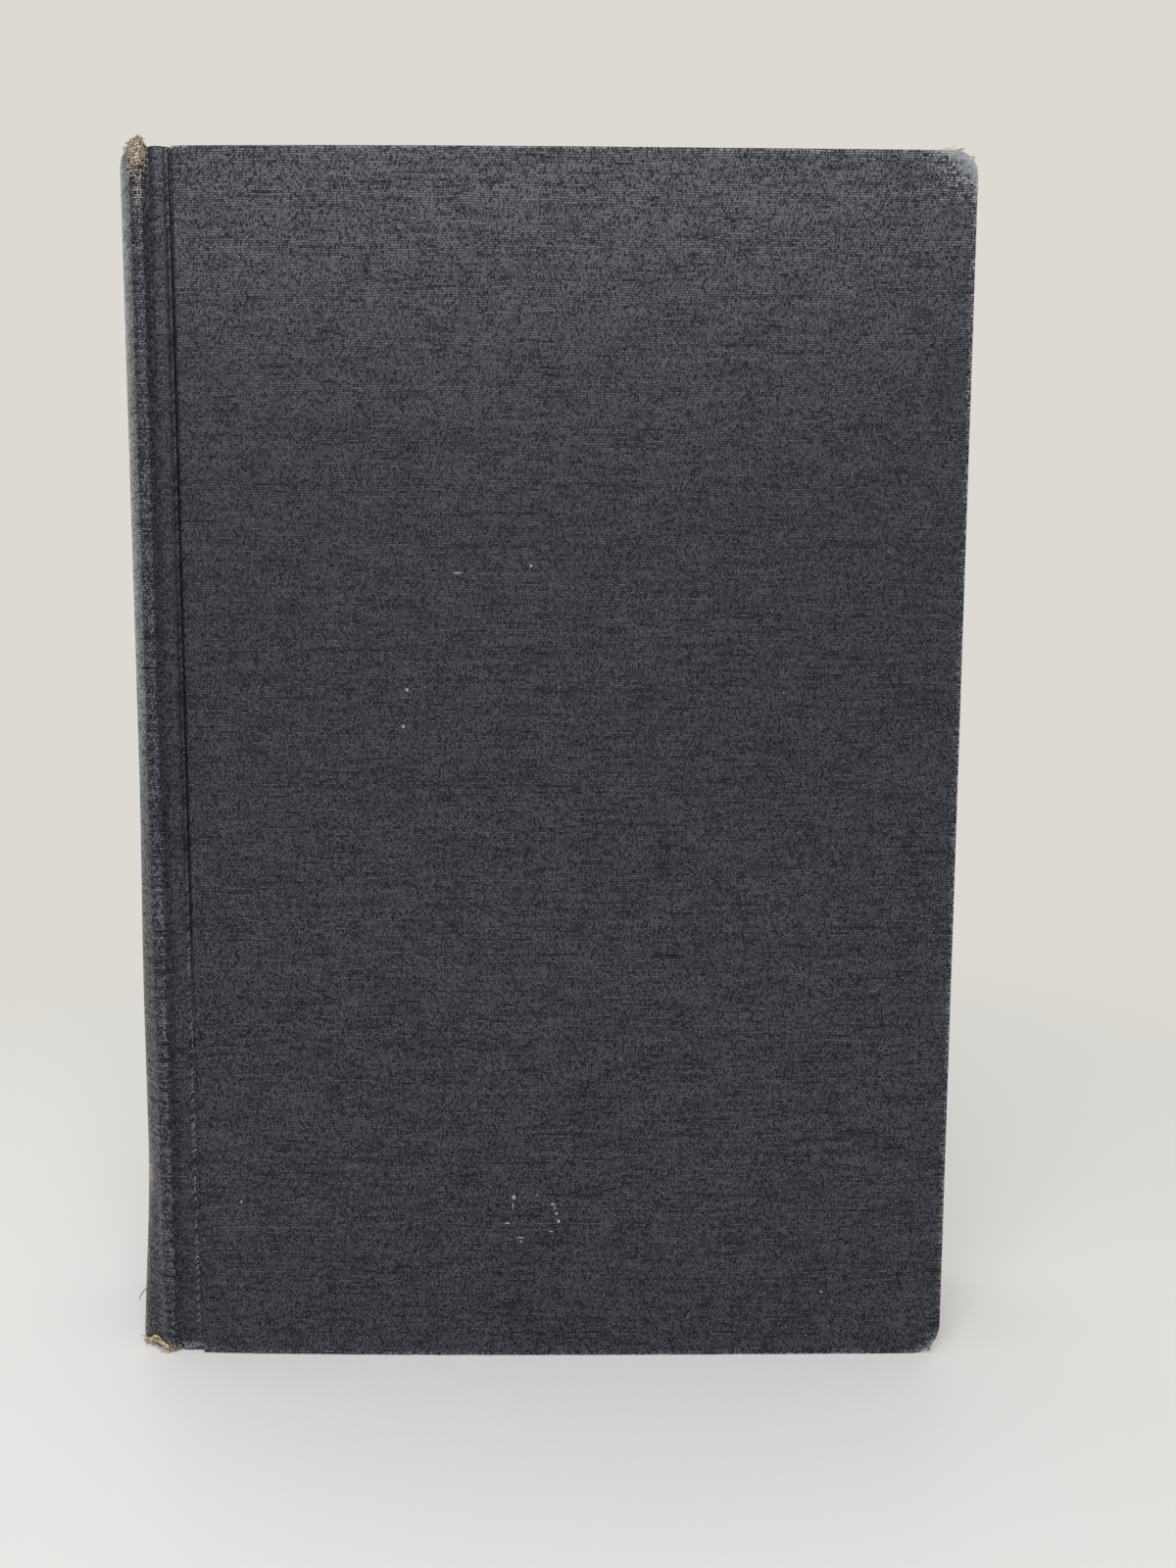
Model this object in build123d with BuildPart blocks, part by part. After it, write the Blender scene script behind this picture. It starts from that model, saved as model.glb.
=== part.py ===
from build123d import *
import os
from math import atan2, degrees, sqrt

# Cloth-bound hardback book, standing closed on its tail.
# Millimetres, +Z up, spine towards -X, fore-edge towards +X, front cover towards -Y.
# The origin is the bottom centre of the closed book's box.

# Leaves
page_height = 228.6
page_width = 152.4
block_thickness = 26.7
spine_round = 6.5
fore_edge_hollow = 4.5
shoulder_run = 2.4

# Sheet stocks
board_thickness = 2.4
cloth_thickness = 0.4
endpaper_thickness = 0.15
mull_thickness = 0.2
lining_thickness = 0.15
inlay_thickness = 0.5

# Case
square = 3.2
groove_width = 6.0
groove_depth = 1.2
groove_wall_run = 0.6
ridge_drop = 0.3
ridge_cover = 0.8
ridge_round = 0.6
spine_edge_round = 2.0
cover_edge_round = 0.8
head_corner_round = 4.5
tail_corner_round = 6.0
turn_in = 15.0
inlay_inset = 0.6

# Endpapers and gauze
pastedown_margin = 4.0
pastedown_ramp = 1.2
mull_reach = 25.0
mull_end_margin = 12.8

# Head and tail bands
band_radius = 0.9
band_sides = 8
band_tape_height = 10.0
band_inset = 2.0

# Clearances
leaf_gap = 0.15
hollow_gap = 0.1
joint_gap = 0.1
band_gap = 0.05

# Thickness of the stacks, from the block outwards
wrap_thickness = board_thickness + 2 * cloth_thickness
cover_thickness = wrap_thickness + endpaper_thickness
spine_lining_stack = mull_thickness + lining_thickness
spine_case_stack = inlay_thickness + 2 * cloth_thickness
spine_stack = spine_lining_stack + hollow_gap + spine_case_stack

# Overall box
block_half = block_thickness / 2
half_depth = block_half + endpaper_thickness + leaf_gap + cover_thickness
cover_height = page_height + 2 * square
overall_width = spine_stack + spine_round + page_width + square

# Rounded spine: the block's shoulders and the concentric arcs of what covers it
tip_half = half_depth - ridge_drop - cloth_thickness - mull_thickness
block_spine_radius = (tip_half**2 + spine_round**2) / (2 * spine_round)
mull_radius = block_spine_radius + mull_thickness
lining_radius = mull_radius + lining_thickness
turn_in_radius = lining_radius + hollow_gap
inlay_radius = turn_in_radius + cloth_thickness
cloth_radius = inlay_radius + inlay_thickness
case_radius = cloth_radius + cloth_thickness
inlay_half = tip_half - inlay_inset

# Places along X, from the spine to the fore-edge
spine_x = -overall_width / 2
spine_centre_x = spine_x + case_radius
block_spine_x = spine_centre_x - block_spine_radius
tip_x = block_spine_x + spine_round
shoulder_foot_x = tip_x + shoulder_run
ridge_x = tip_x + ridge_cover
ridge_half = half_depth - ridge_drop
ridge_end_x = spine_centre_x - sqrt(case_radius**2 - ridge_half**2)
hinge_x = ridge_x + groove_width / 2
board_x = ridge_x + groove_width
leaf_edge_x = tip_x + page_width
fore_edge_x = leaf_edge_x + square
window_edge_x = fore_edge_x - turn_in

# Heights
head_z = square + page_height
groove_half = half_depth - groove_depth


def cover_plane(depth):
    """Plane of the front cover at a depth below its outer face, with its normal towards -Y."""
    return Plane.XZ.offset(half_depth - depth)


def cover_outline(depth, inset):
    """Outline of the front cover drawn in from its edges, with rounded fore-edge corners."""
    with BuildSketch(cover_plane(depth)) as outline:
        with Locations(((board_x + fore_edge_x) / 2, cover_height / 2)):
            Rectangle(fore_edge_x - board_x - 2 * inset, cover_height - 2 * inset)
        tail_corner = outline.vertices().group_by(Axis.Y)[0].sort_by(Axis.X)[-1]
        fillet(tail_corner, tail_corner_round - inset)
        head_corner = outline.vertices().group_by(Axis.Y)[-1].sort_by(Axis.X)[-1]
        fillet(head_corner, head_corner_round - inset)
    return outline.sketch


def cover_panel(depth, left_x, right_x, low_z, high_z):
    """Rectangle on the front cover between two places along the cover and two heights."""
    with BuildSketch(cover_plane(depth)) as panel:
        with Locations(((left_x + right_x) / 2, (low_z + high_z) / 2)):
            Rectangle(right_x - left_x, high_z - low_z)
    return panel.sketch


def spine_band(base_z, inner_radius, outer_radius, half_width):
    """Section of a layer on the rounded spine, clipped to a half width either side of its middle."""
    with BuildSketch(Plane.XY.offset(base_z)) as band:
        with Locations((spine_centre_x, 0)):
            Circle(outer_radius)
            Circle(inner_radius, mode=Mode.SUBTRACT)
            Rectangle(
                outer_radius,
                2 * half_width,
                align=(Align.MAX, Align.CENTER),
                mode=Mode.INTERSECT,
            )
    return band.sketch


# Text block: flat sides, hollow fore-edge, rounded spine with shoulders bent out by the backing
with BuildPart() as text_block:
    with BuildSketch(Plane.XY.offset(square)):
        with BuildLine():
            Line((shoulder_foot_x, -block_half), (leaf_edge_x, -block_half))
            ThreePointArc(
                (leaf_edge_x, -block_half),
                (leaf_edge_x - fore_edge_hollow, 0),
                (leaf_edge_x, block_half),
            )
            Line((leaf_edge_x, block_half), (shoulder_foot_x, block_half))
            TangentArc((shoulder_foot_x, block_half), (tip_x, tip_half), tangent=(-1, 0))
            ThreePointArc((tip_x, tip_half), (block_spine_x, 0), (tip_x, -tip_half))
            TangentArc((shoulder_foot_x, -block_half), (tip_x, -tip_half), tangent=(-1, 0))
        make_face()
    extrude(amount=page_height)
text_block.part.label = "text_block"

# Free leaf of the front endpaper, flat on the block
with BuildPart() as front_flyleaf:
    leaf_depth = half_depth - block_half - endpaper_thickness
    extrude(
        cover_panel(leaf_depth, shoulder_foot_x, leaf_edge_x, square, head_z),
        amount=-endpaper_thickness,
    )
front_flyleaf.part.label = "front_flyleaf"

# Gauze over the spine, short of the head and tail
with BuildPart() as spine_mull:
    extrude(
        spine_band(square + mull_end_margin, block_spine_radius, mull_radius, tip_half),
        amount=page_height - 2 * mull_end_margin,
    )
spine_mull.part.label = "spine_mull"

# Paper lining over the gauze and the bands' tapes
with BuildPart() as spine_lining:
    extrude(spine_band(square, mull_radius, lining_radius, inlay_half), amount=page_height)
spine_lining.part.label = "spine_lining"

# Head band: a sewn bead along the edge of the leaves, on a tape glued to the spine
bead_path_radius = mull_radius - band_radius
bead_half = inlay_half - band_inset
bead_end_x = spine_centre_x - sqrt(bead_path_radius**2 - bead_half**2)
bead_z = head_z + band_gap + band_radius
with BuildPart() as head_band:
    with BuildLine(Plane.XY.offset(bead_z)) as bead_path:
        ThreePointArc(
            (bead_end_x, -bead_half),
            (spine_centre_x - bead_path_radius, 0),
            (bead_end_x, bead_half),
        )
    with BuildSketch(Plane(origin=bead_path.line @ 0, z_dir=bead_path.line % 0)):
        RegularPolygon(band_radius, band_sides, major_radius=False, rotation=180 / band_sides)
    sweep(path=bead_path.line)
    tape_z = head_z - band_tape_height
    extrude(spine_band(tape_z, block_spine_radius, mull_radius, bead_half), amount=bead_z - tape_z)
head_band.part.label = "head_band"

# Card that stiffens the spine of the case
with BuildPart() as spine_inlay:
    extrude(
        spine_band(cloth_thickness, inlay_radius, cloth_radius, inlay_half),
        amount=cover_height - 2 * cloth_thickness,
    )
spine_inlay.part.label = "spine_inlay"

# Case cloth from groove to groove: groove floor, shoulder, ridge, rounded spine and back again
with BuildPart() as spine_cloth:
    with BuildSketch():
        with BuildLine() as case_path:
            shoulder = FilletPolyline(
                (hinge_x - joint_gap / 2, -groove_half),
                (ridge_x + groove_wall_run, -groove_half),
                (ridge_x, -ridge_half),
                (ridge_end_x, -ridge_half),
                radius=ridge_round,
            )
            ThreePointArc((ridge_end_x, -ridge_half), (spine_x, 0), (ridge_end_x, ridge_half))
            mirror(shoulder, about=Plane.XZ)
            fillet(case_path.vertices().group_by(Axis.X)[0], spine_edge_round)
            offset(amount=cloth_thickness, side=Side.RIGHT)
        make_face()
    extrude(amount=cover_height)
    # Folds over the ends of the inlay, and the turn-ins behind it
    for fold_z in (0, cover_height - cloth_thickness):
        extrude(spine_band(fold_z, turn_in_radius, cloth_radius, inlay_half), amount=cloth_thickness)
    for turn_z in (0, cover_height - turn_in):
        extrude(spine_band(turn_z, turn_in_radius, inlay_radius, inlay_half), amount=turn_in)
spine_cloth.part.label = "spine_cloth"

# Front board, its edges eased under the cloth
with BuildPart() as front_board:
    extrude(cover_outline(cloth_thickness, cloth_thickness), amount=-board_thickness)
    board_ease = cover_edge_round - cloth_thickness
    chamfer(front_board.faces().sort_by(Axis.Y)[0].edges(), board_ease)
    chamfer(front_board.faces().sort_by(Axis.Y)[-1].edges(), board_ease)
front_board.part.label = "front_board"

# Cloth over the front board: outer face, turned edges, turn-ins and the outer half of the groove
with BuildPart() as front_cloth:
    extrude(cover_outline(0, 0), amount=-wrap_thickness)
    fillet(front_cloth.faces().sort_by(Axis.Y)[0].edges(), cover_edge_round)
    fillet(front_cloth.faces().sort_by(Axis.Y)[-1].edges(), cover_edge_round)
    add(front_board.part, mode=Mode.SUBTRACT)
    extrude(
        cover_panel(wrap_thickness, board_x, window_edge_x, turn_in, cover_height - turn_in),
        amount=cloth_thickness,
        mode=Mode.SUBTRACT,
    )
    floor_depth = groove_depth + cloth_thickness
    extrude(
        cover_panel(floor_depth, board_x, board_x + cover_edge_round, 0, cover_height),
        amount=-(wrap_thickness - floor_depth),
        mode=Mode.SUBTRACT,
    )
    extrude(
        cover_panel(groove_depth, hinge_x + joint_gap / 2, board_x + cloth_thickness, 0, cover_height),
        amount=-cloth_thickness,
    )
    add(front_board.part, mode=Mode.SUBTRACT)
front_cloth.part.label = "front_cloth"

# Gauze lapped on to the inside of the front board
with BuildPart() as front_mull_flange:
    extrude(
        cover_panel(
            wrap_thickness - cloth_thickness,
            hinge_x + joint_gap / 2,
            board_x + mull_reach,
            square + mull_end_margin,
            head_z - mull_end_margin,
        ),
        amount=-mull_thickness,
    )
front_mull_flange.part.label = "front_mull_flange"

# Pasted leaf of the front endpaper: over the turn-ins, sunk where it meets the gauze and the bare board
with BuildPart() as front_pastedown:
    flange_depth = wrap_thickness - cloth_thickness
    gauze_depth = flange_depth + mull_thickness
    paste_edge_x = fore_edge_x - pastedown_margin
    paste_head_z = cover_height - pastedown_margin
    extrude(
        cover_panel(gauze_depth, hinge_x + joint_gap / 2, paste_edge_x, pastedown_margin, paste_head_z),
        amount=-(cover_thickness - gauze_depth),
    )
    extrude(
        cover_panel(flange_depth, board_x + cover_edge_round, paste_edge_x, pastedown_margin, paste_head_z),
        amount=-mull_thickness,
    )
    # Each sink slopes down over the ramp's length, from the edge of what lies under the paper
    gauze_edge_x = board_x + mull_reach
    for sink, left_x in (
        (cloth_thickness - mull_thickness, hinge_x - pastedown_ramp),
        (cloth_thickness, gauze_edge_x),
    ):
        extrude(
            cover_panel(cover_thickness, left_x, window_edge_x, turn_in, cover_height - turn_in),
            amount=sink,
            taper=degrees(atan2(pastedown_ramp, sink)),
            mode=Mode.SUBTRACT,
        )
    add(front_cloth.part, mode=Mode.SUBTRACT)
    add(front_mull_flange.part, mode=Mode.SUBTRACT)
front_pastedown.part.label = "front_pastedown"

# The tail band mirrors the head band
with BuildPart() as tail_band:
    mirror(head_band.part, about=Plane.XY.offset(cover_height / 2))
tail_band.part.label = "tail_band"

# The back endpaper and cover mirror the front ones
front_pieces = (front_flyleaf, front_board, front_cloth, front_mull_flange, front_pastedown)
back_pieces = []
for front_piece in front_pieces:
    with BuildPart() as back_piece:
        mirror(front_piece.part, about=Plane.XZ)
    back_piece.part.label = front_piece.part.label.replace("front", "back")
    back_pieces.append(back_piece)

block_pieces = (text_block, spine_mull, spine_lining, head_band, tail_band, spine_inlay, spine_cloth)
os.makedirs("parts", exist_ok=True)
for piece in (*block_pieces, *front_pieces, *back_pieces):
    export_step(piece.part, f"parts/{piece.part.label}.step")

print(f"width {overall_width:.2f}, depth {2 * half_depth:.2f}, height {cover_height:.2f}")
print(f"hinge lines at x {hinge_x:.4f}, y -+{half_depth:.4f}; board edge at x {board_x:.4f}")
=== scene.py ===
# %% [markdown]
# # A cloth-bound hardback book
# A hardback is made in two halves that meet late. The leaves are sewn, rounded and backed into a block, and
# two boards and a card are covered with cloth to make the case. Pasted endpapers then hang the block in it.
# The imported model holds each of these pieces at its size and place. This lesson dresses them: cloth drawn
# whole over boards, joints and spine, edges that show their leaves, and the wear of years of handling.

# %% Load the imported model
import math
import random

import bmesh
import bpy
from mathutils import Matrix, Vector, noise


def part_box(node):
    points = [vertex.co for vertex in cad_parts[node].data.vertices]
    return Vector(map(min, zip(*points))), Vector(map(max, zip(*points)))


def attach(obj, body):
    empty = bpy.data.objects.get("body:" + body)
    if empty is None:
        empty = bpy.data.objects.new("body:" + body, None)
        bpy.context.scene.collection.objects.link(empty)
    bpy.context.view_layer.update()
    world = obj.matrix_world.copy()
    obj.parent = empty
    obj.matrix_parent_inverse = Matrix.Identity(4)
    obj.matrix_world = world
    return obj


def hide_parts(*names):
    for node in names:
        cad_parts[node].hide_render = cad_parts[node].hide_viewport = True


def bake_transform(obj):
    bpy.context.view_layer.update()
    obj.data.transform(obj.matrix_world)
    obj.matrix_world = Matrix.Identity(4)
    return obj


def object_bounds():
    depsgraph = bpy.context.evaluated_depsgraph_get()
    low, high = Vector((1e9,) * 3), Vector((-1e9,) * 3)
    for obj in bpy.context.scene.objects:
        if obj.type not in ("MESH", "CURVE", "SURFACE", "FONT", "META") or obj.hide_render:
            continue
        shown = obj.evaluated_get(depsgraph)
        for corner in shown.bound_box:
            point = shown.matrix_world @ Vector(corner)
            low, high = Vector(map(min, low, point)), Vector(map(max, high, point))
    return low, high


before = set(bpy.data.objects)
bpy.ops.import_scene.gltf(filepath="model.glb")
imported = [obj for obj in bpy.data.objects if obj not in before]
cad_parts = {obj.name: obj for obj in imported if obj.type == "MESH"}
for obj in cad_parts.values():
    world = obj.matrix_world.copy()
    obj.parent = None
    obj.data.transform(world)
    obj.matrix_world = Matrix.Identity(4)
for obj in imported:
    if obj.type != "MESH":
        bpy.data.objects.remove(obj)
cad_low, cad_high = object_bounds()
print("CAD box in metres:", [round(x, 4) for x in (*cad_low, *cad_high)])

# %% [markdown]
# ## Measures
# Lengths are written in millimetres, as a binder gives them, and become metres when a mesh is made. Most are
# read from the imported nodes, so that a new size of book moves everything with it. A few belong to the case's
# section and can't be read from a box, so they stand here as plain values.

# %% Sizes of the case and the block
mm = 0.001


def node_box(node):
    """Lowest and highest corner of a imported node, in millimetres."""
    low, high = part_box(node)
    return low / mm, high / mm


case_low, case_high = cad_low / mm, cad_high / mm
cloth_low, cloth_high = node_box("front_cloth")
board_low, _ = node_box("front_board")
leaf_low, leaf_high = node_box("text_block")
fly_low, fly_high = node_box("front_flyleaf")
spine_x, fore_edge_x = case_low.x, case_high.x
half_depth, cover_height = case_high.y, case_high.z
cloth_thickness = board_low.y - cloth_low.y
wrap_thickness = cloth_high.y - cloth_low.y
joint_lap = 1.1
board_x = board_low.x - cloth_thickness - joint_lap
tail_z, head_z = leaf_low.z, leaf_high.z
tip_half, block_half = leaf_high.y, -fly_high.y
endpaper_thickness = fly_high.y - fly_low.y
shoulder_foot_x, leaf_edge_x = fly_low.x, leaf_high.x
block_spine_x = leaf_low.x
print(f"case {fore_edge_x - spine_x:.2f} wide, {2 * half_depth:.2f} deep, {cover_height:.2f} tall")

# %% Sizes of the case's section
groove_depth = 1.2
groove_wall_run = 0.6
ridge_drop = 0.3
ridge_cover = 0.4
ridge_round = 0.6
spine_edge_round = 2.0
cover_edge_round = 0.5
head_corner_round = 4.5
tail_corner_round = 6.0
turn_in = 15.0
spine_round = 6.5
spine_radius = (tip_half**2 + spine_round**2) / (2 * spine_round)
spine_centre_x = block_spine_x + spine_radius
case_radius = spine_centre_x - spine_x
tip_x = block_spine_x + spine_round
ridge_x = tip_x + ridge_cover
ridge_half = half_depth - ridge_drop
crease_x = ridge_x + groove_wall_run
print(f"board from {board_x:.2f}, groove crease at {crease_x:.2f}, spine radius {case_radius:.2f}")

# %% [markdown]
# ## A board that has bowed
# Damp and drying cloth pull a board into a slight curve across its width, and this front board stands about
# a millimetre proud in the middle. Bending each finished mesh would be one way. Here each point is given by
# its place along the cover, its depth below the outer face and its height, and one function turns that into
# a place in the book, so board, cloth, gauze and paper all take the same curve.

# %% Places on a cover
FRONT, BACK = -1, 1
SIDES = {"front": FRONT, "back": BACK}
bow_rise = 0.9
bow_lean = 0.76


def bow(x):
    """How far the cover stands proud of flat, most at about two fifths of the way from its joint."""
    share = (x - board_x) / (fore_edge_x - board_x)
    return bow_rise * math.sin(math.pi * min(max(share, 0.0), 1.0) ** bow_lean)


def on_cover(side, x, depth, z):
    """Place in the book of a point at a depth below a cover's outer face."""
    return Vector((x, side * (half_depth - depth + bow(x)), z))


print(f"bow at the middle of the cover: {bow((board_x + fore_edge_x) / 2):.2f} mm")

# %% [markdown]
# ## From points to a piece
# Every mesh goes through one small function: it scales the points, makes the object, gives it its material
# and shades it smooth with the real corners kept sharp. Named values can ride on the points, such as where a
# point lies along the threads of the cloth or how much it is rubbed, and the materials read them.

# %% Make a piece
CORNER = math.radians(38)


def add_piece(name, mesh, *materials):
    """Object for a mesh that is in metres, shaded smooth between its corners."""
    for material in materials:
        mesh.materials.append(material)
    mesh.shade_smooth()
    mesh.set_sharp_from_angle(angle=CORNER)
    piece = bpy.data.objects.new(name, mesh)
    bpy.context.scene.collection.objects.link(piece)
    print(f"{name}: {len(mesh.vertices)} points, {len(mesh.polygons)} faces")
    return piece


def mesh_of(name, points, faces):
    """Closed mesh from points in millimetres, its faces turned outwards."""
    mesh = bpy.data.meshes.new(name)
    mesh.from_pydata([Vector(point) * mm for point in points], [], faces)
    work = bmesh.new()
    work.from_mesh(mesh)
    bmesh.ops.recalc_face_normals(work, faces=work.faces[:])
    work.to_mesh(mesh)
    work.free()
    return mesh


def put_values(mesh, name, values):
    """Stores one number or one place for each point of a mesh."""
    is_place = hasattr(values[0], "__len__")
    layer = mesh.attributes.new(name, "FLOAT_VECTOR" if is_place else "FLOAT", "POINT")
    for item, value in zip(layer.data, values):
        if is_place:
            item.vector = value
        else:
            item.value = value


# %% [markdown]
# ## A bench for materials
# A material is a net of small nodes, and clicking one together hides how it works. This bench adds a node
# with each call and hands back its output, so a finish reads as a short list of sums.

# %% The bench


class Finish:
    """A node material under construction. Each call adds one node and gives its output."""

    def __init__(self, name):
        self.material = bpy.data.materials.new(name)
        self.material.use_nodes = True
        self.tree = self.material.node_tree
        self.surface = self.tree.nodes["Principled BSDF"]

    def feed(self, socket, value):
        """Links an output to a socket, or sets a plain value on it."""
        if isinstance(value, bpy.types.NodeSocket):
            self.tree.links.new(value, socket)
        elif hasattr(value, "__len__") and socket.type == "RGBA":
            socket.default_value = (*value, 1.0)
        else:
            socket.default_value = value

    def add(self, kind, sockets, output=0, **settings):
        node = self.tree.nodes.new("ShaderNode" + kind)
        for setting, value in settings.items():
            setattr(node, setting, value)
        for socket, value in sockets.items():
            self.feed(node.inputs[socket], value)
        return node.outputs[output]

    def sum(self, operation, *values):
        return self.add("Math", dict(enumerate(values)), operation=operation)

    def ease(self, value, low, high, start=0.0, end=1.0):
        """Value turned from the range low to high into start to end, held at both ends."""
        sockets = {0: value, 1: low, 2: high, 3: start, 4: end}
        return self.add("MapRange", sockets, interpolation_type="SMOOTHSTEP")

    def blend(self, share, one, two):
        return self.add("Mix", {0: share, 6: one, 7: two}, output=2, data_type="RGBA")

    def cloud(self, place, scale, detail=2.0):
        sockets = {"Vector": place, "Scale": scale, "Detail": detail}
        return self.add("TexNoise", sockets)

    def dice(self, place):
        """A number of its own for each place."""
        return self.add("TexWhiteNoise", {"Vector": place}, noise_dimensions="2D")

    def stretch(self, place, x, y, z=1.0):
        return self.add("VectorMath", {0: place, 1: (x, y, z)}, operation="MULTIPLY")

    def parts(self, place):
        node = self.add("SeparateXYZ", {0: place}).node
        return node.outputs[0], node.outputs[1]

    def join(self, x, y):
        return self.add("CombineXYZ", {0: x, 1: y})

    def value_on(self, name):
        return self.add("Attribute", {}, output=2, attribute_name=name)

    def place_on(self, name):
        return self.add("Attribute", {}, output=1, attribute_name=name)

    def relief(self, height, rise):
        """Bump from a height, where a height of 1 rises by a number of millimetres."""
        sockets = {"Height": height, "Distance": rise * mm, "Strength": 1.0}
        self.feed(self.surface.inputs["Normal"], self.add("Bump", sockets))

    def coat(self, colour, roughness, specular=0.5):
        self.feed(self.surface.inputs["Base Color"], colour)
        self.feed(self.surface.inputs["Roughness"], roughness)
        self.surface.inputs["Specular IOR Level"].default_value = specular
        return self.material


# %% [markdown]
# ## Book cloth
# The case is covered in dyed buckram: a plain weave whose weft shows more than its warp, filled with starch
# that leaves a thin glaze on the crests of its threads. An image of cloth would tile and blur. This weave is
# worked out from each point's place along the threads, so it runs at its true pitch over boards, grooves and
# spine. Each row of weft is a chain of short floats with a height of their own. Rows wander, threads swell
# and thin, a few are thicker for a short way, and wear takes the dye from the crests first.

# %% Weave of the cloth
weft_pitch = 0.433
float_length = 0.19
row_wander = 0.9
row_offset = 5.7
fibre_scale = (5.0, 6.0)
fibre_strength = 3.4
swell_strength = 3.8
quick_rate, quick_share = 0.35, 0.45
slow_rate, slow_share = 0.09, 0.55
mottle_reach = 0.15
height_gain = 1.6
slub_rise = 1.6
slubs = ((156.8, -12.5, 2.6), (140.0, -24.8, -1.2), (26.8, -64.5, -44.8))
slub_taper = 3.0


def thick_threads(finish, u, v):
    """1 on the few weft threads of the front cover that are thicker than the rest for a short way."""
    total = 0.0
    for height, start, end in slubs:
        off_row = finish.sum("ABSOLUTE", finish.sum("SUBTRACT", v, height))
        from_middle = finish.sum("ABSOLUTE", finish.sum("SUBTRACT", u, (start + end) / 2))
        half_run = (end - start) / 2
        on_row = finish.ease(off_row, weft_pitch * 0.3, weft_pitch * 0.7, 1.0, 0.0)
        on_run = finish.ease(from_middle, half_run - slub_taper, half_run, 1.0, 0.0)
        total = finish.sum("MULTIPLY_ADD", on_row, on_run, total)
    return total


def weave(finish):
    """Height of the weave at each point, from 0 in the gaps up, with a draw for each float and the place."""
    lay = finish.place_on("thread")
    drift = finish.cloud(lay, 0.13)
    u, v = finish.parts(lay)
    up = finish.sum("DIVIDE", finish.sum("MULTIPLY_ADD", drift, row_wander, v), weft_pitch)
    row = finish.sum("FLOOR", up)

    def vary(cloud, strength):
        """Share that a cloud adds or takes away, round 1."""
        return finish.sum("MULTIPLY_ADD", finish.sum("SUBTRACT", cloud, 0.5), strength, 1.0)

    def along_row(rate):
        """Slow change along each row of weft, with no likeness between one row and the next."""
        place = finish.join(finish.sum("MULTIPLY", u, rate), finish.sum("MULTIPLY", row, row_offset))
        return finish.cloud(place, 1.0)

    middle = finish.sum("MULTIPLY_ADD", finish.sum("FRACT", up), 2.0, -1.0)
    back = finish.sum("SUBTRACT", 1.0, finish.sum("POWER", middle, 2.0))
    slip = finish.dice(finish.join(row, 0.5))
    across = finish.sum("ADD", finish.sum("DIVIDE", u, float_length), slip)
    draw = finish.dice(finish.join(finish.sum("FLOOR", across), row))
    fibre = vary(finish.cloud(finish.stretch(lay, *fibre_scale), 1.0, 1.0), fibre_strength)
    slow_swell = finish.sum("MULTIPLY", along_row(slow_rate), slow_share)
    swell = finish.sum("MULTIPLY_ADD", along_row(quick_rate), quick_share, slow_swell)
    mottle = finish.ease(finish.cloud(lay, 0.14, 4.0), 0.3, 0.7, -mottle_reach, mottle_reach)
    thread = finish.sum("ADD", vary(swell, swell_strength), mottle)
    thread = finish.sum("MULTIPLY_ADD", thick_threads(finish, u, v), slub_rise, thread)
    height = finish.sum("MULTIPLY", finish.sum("MULTIPLY", back, thread), fibre)
    height = finish.sum("MULTIPLY", height, finish.sum("MULTIPLY", draw, height_gain))
    return finish.sum("MAXIMUM", height, 0.0), draw, lay


# %% The cloth's finish
# The weave's gaps are painted darker than its threads: painted shade in the hollows between threads.
painted_gap_shade = (0.0026, 0.0027, 0.0045)
thread_colour = (0.0765, 0.0818, 0.1045)
rubbed_colour = (0.28, 0.295, 0.32)
bare_colour = (0.46, 0.375, 0.275)
painted_bare_gap_shade = (0.13, 0.10, 0.085)
# Painted glints: a pale colour put on a few random thread crests.
painted_glint_colour = (0.30, 0.30, 0.29)
gap_shade_height = 1.8
painted_glint_draws = (0.9996, 0.9998)
crest_relief = 0.04
glaze_gain = 1.9
glaze_roughness = 0.29
glaze_index = 1.34


def book_cloth():
    finish = Finish("book_cloth")
    crest, draw, lay = weave(finish)
    # Painted shade: the colour darkens where the weave is low, between the threads.
    share = finish.sum("MINIMUM", finish.sum("DIVIDE", crest, gap_shade_height), 1.0)
    colour = finish.blend(share, painted_gap_shade, thread_colour)
    # A few random thread crests are lightened: painted glints.
    painted_glint = finish.sum("MULTIPLY", finish.ease(draw, *painted_glint_draws), finish.ease(crest, 0.3, 0.6, 0.0, 0.4))
    colour = finish.blend(painted_glint, colour, painted_glint_colour)
    backs = finish.sum("MINIMUM", crest, 1.3)
    grain = finish.sum("MULTIPLY_ADD", finish.cloud(lay, 1.3, 4.0), 0.7, finish.sum("MULTIPLY", backs, 0.5))

    def worn(name, low, high, most):
        """Share of a kind of wear, which takes the backs of the threads first."""
        value = finish.value_on(name)
        share = finish.ease(finish.sum("ADD", value, grain), low, high, 0.0, most)
        return finish.sum("MULTIPLY", share, finish.ease(value, 0.02, 0.15))

    colour = finish.blend(worn("rub", 0.85, 1.6, 0.85), colour, rubbed_colour)
    # Bare threads also darken in their gaps: painted shade.
    bare_thread = finish.blend(finish.ease(crest, 0.0, 0.7), painted_bare_gap_shade, bare_colour)
    colour = finish.blend(worn("bare", 0.95, 1.5, 1.0), colour, bare_thread)
    finish.relief(crest, crest_relief)
    glazed = finish.sum("MULTIPLY", finish.sum("POWER", crest, 2.0), glaze_gain)
    glaze = {
        "Coat Weight": finish.sum("MINIMUM", glazed, 1.0),
        "Coat Roughness": glaze_roughness,
        "Coat IOR": glaze_index,
    }
    for socket, value in glaze.items():
        finish.feed(finish.surface.inputs[socket], value)
    return finish.coat(colour, finish.ease(crest, 0.15, 0.75, 0.65, 0.36), 0.18)


cloth_finish = book_cloth()
print("book cloth:", len(cloth_finish.node_tree.nodes), "nodes")

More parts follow.
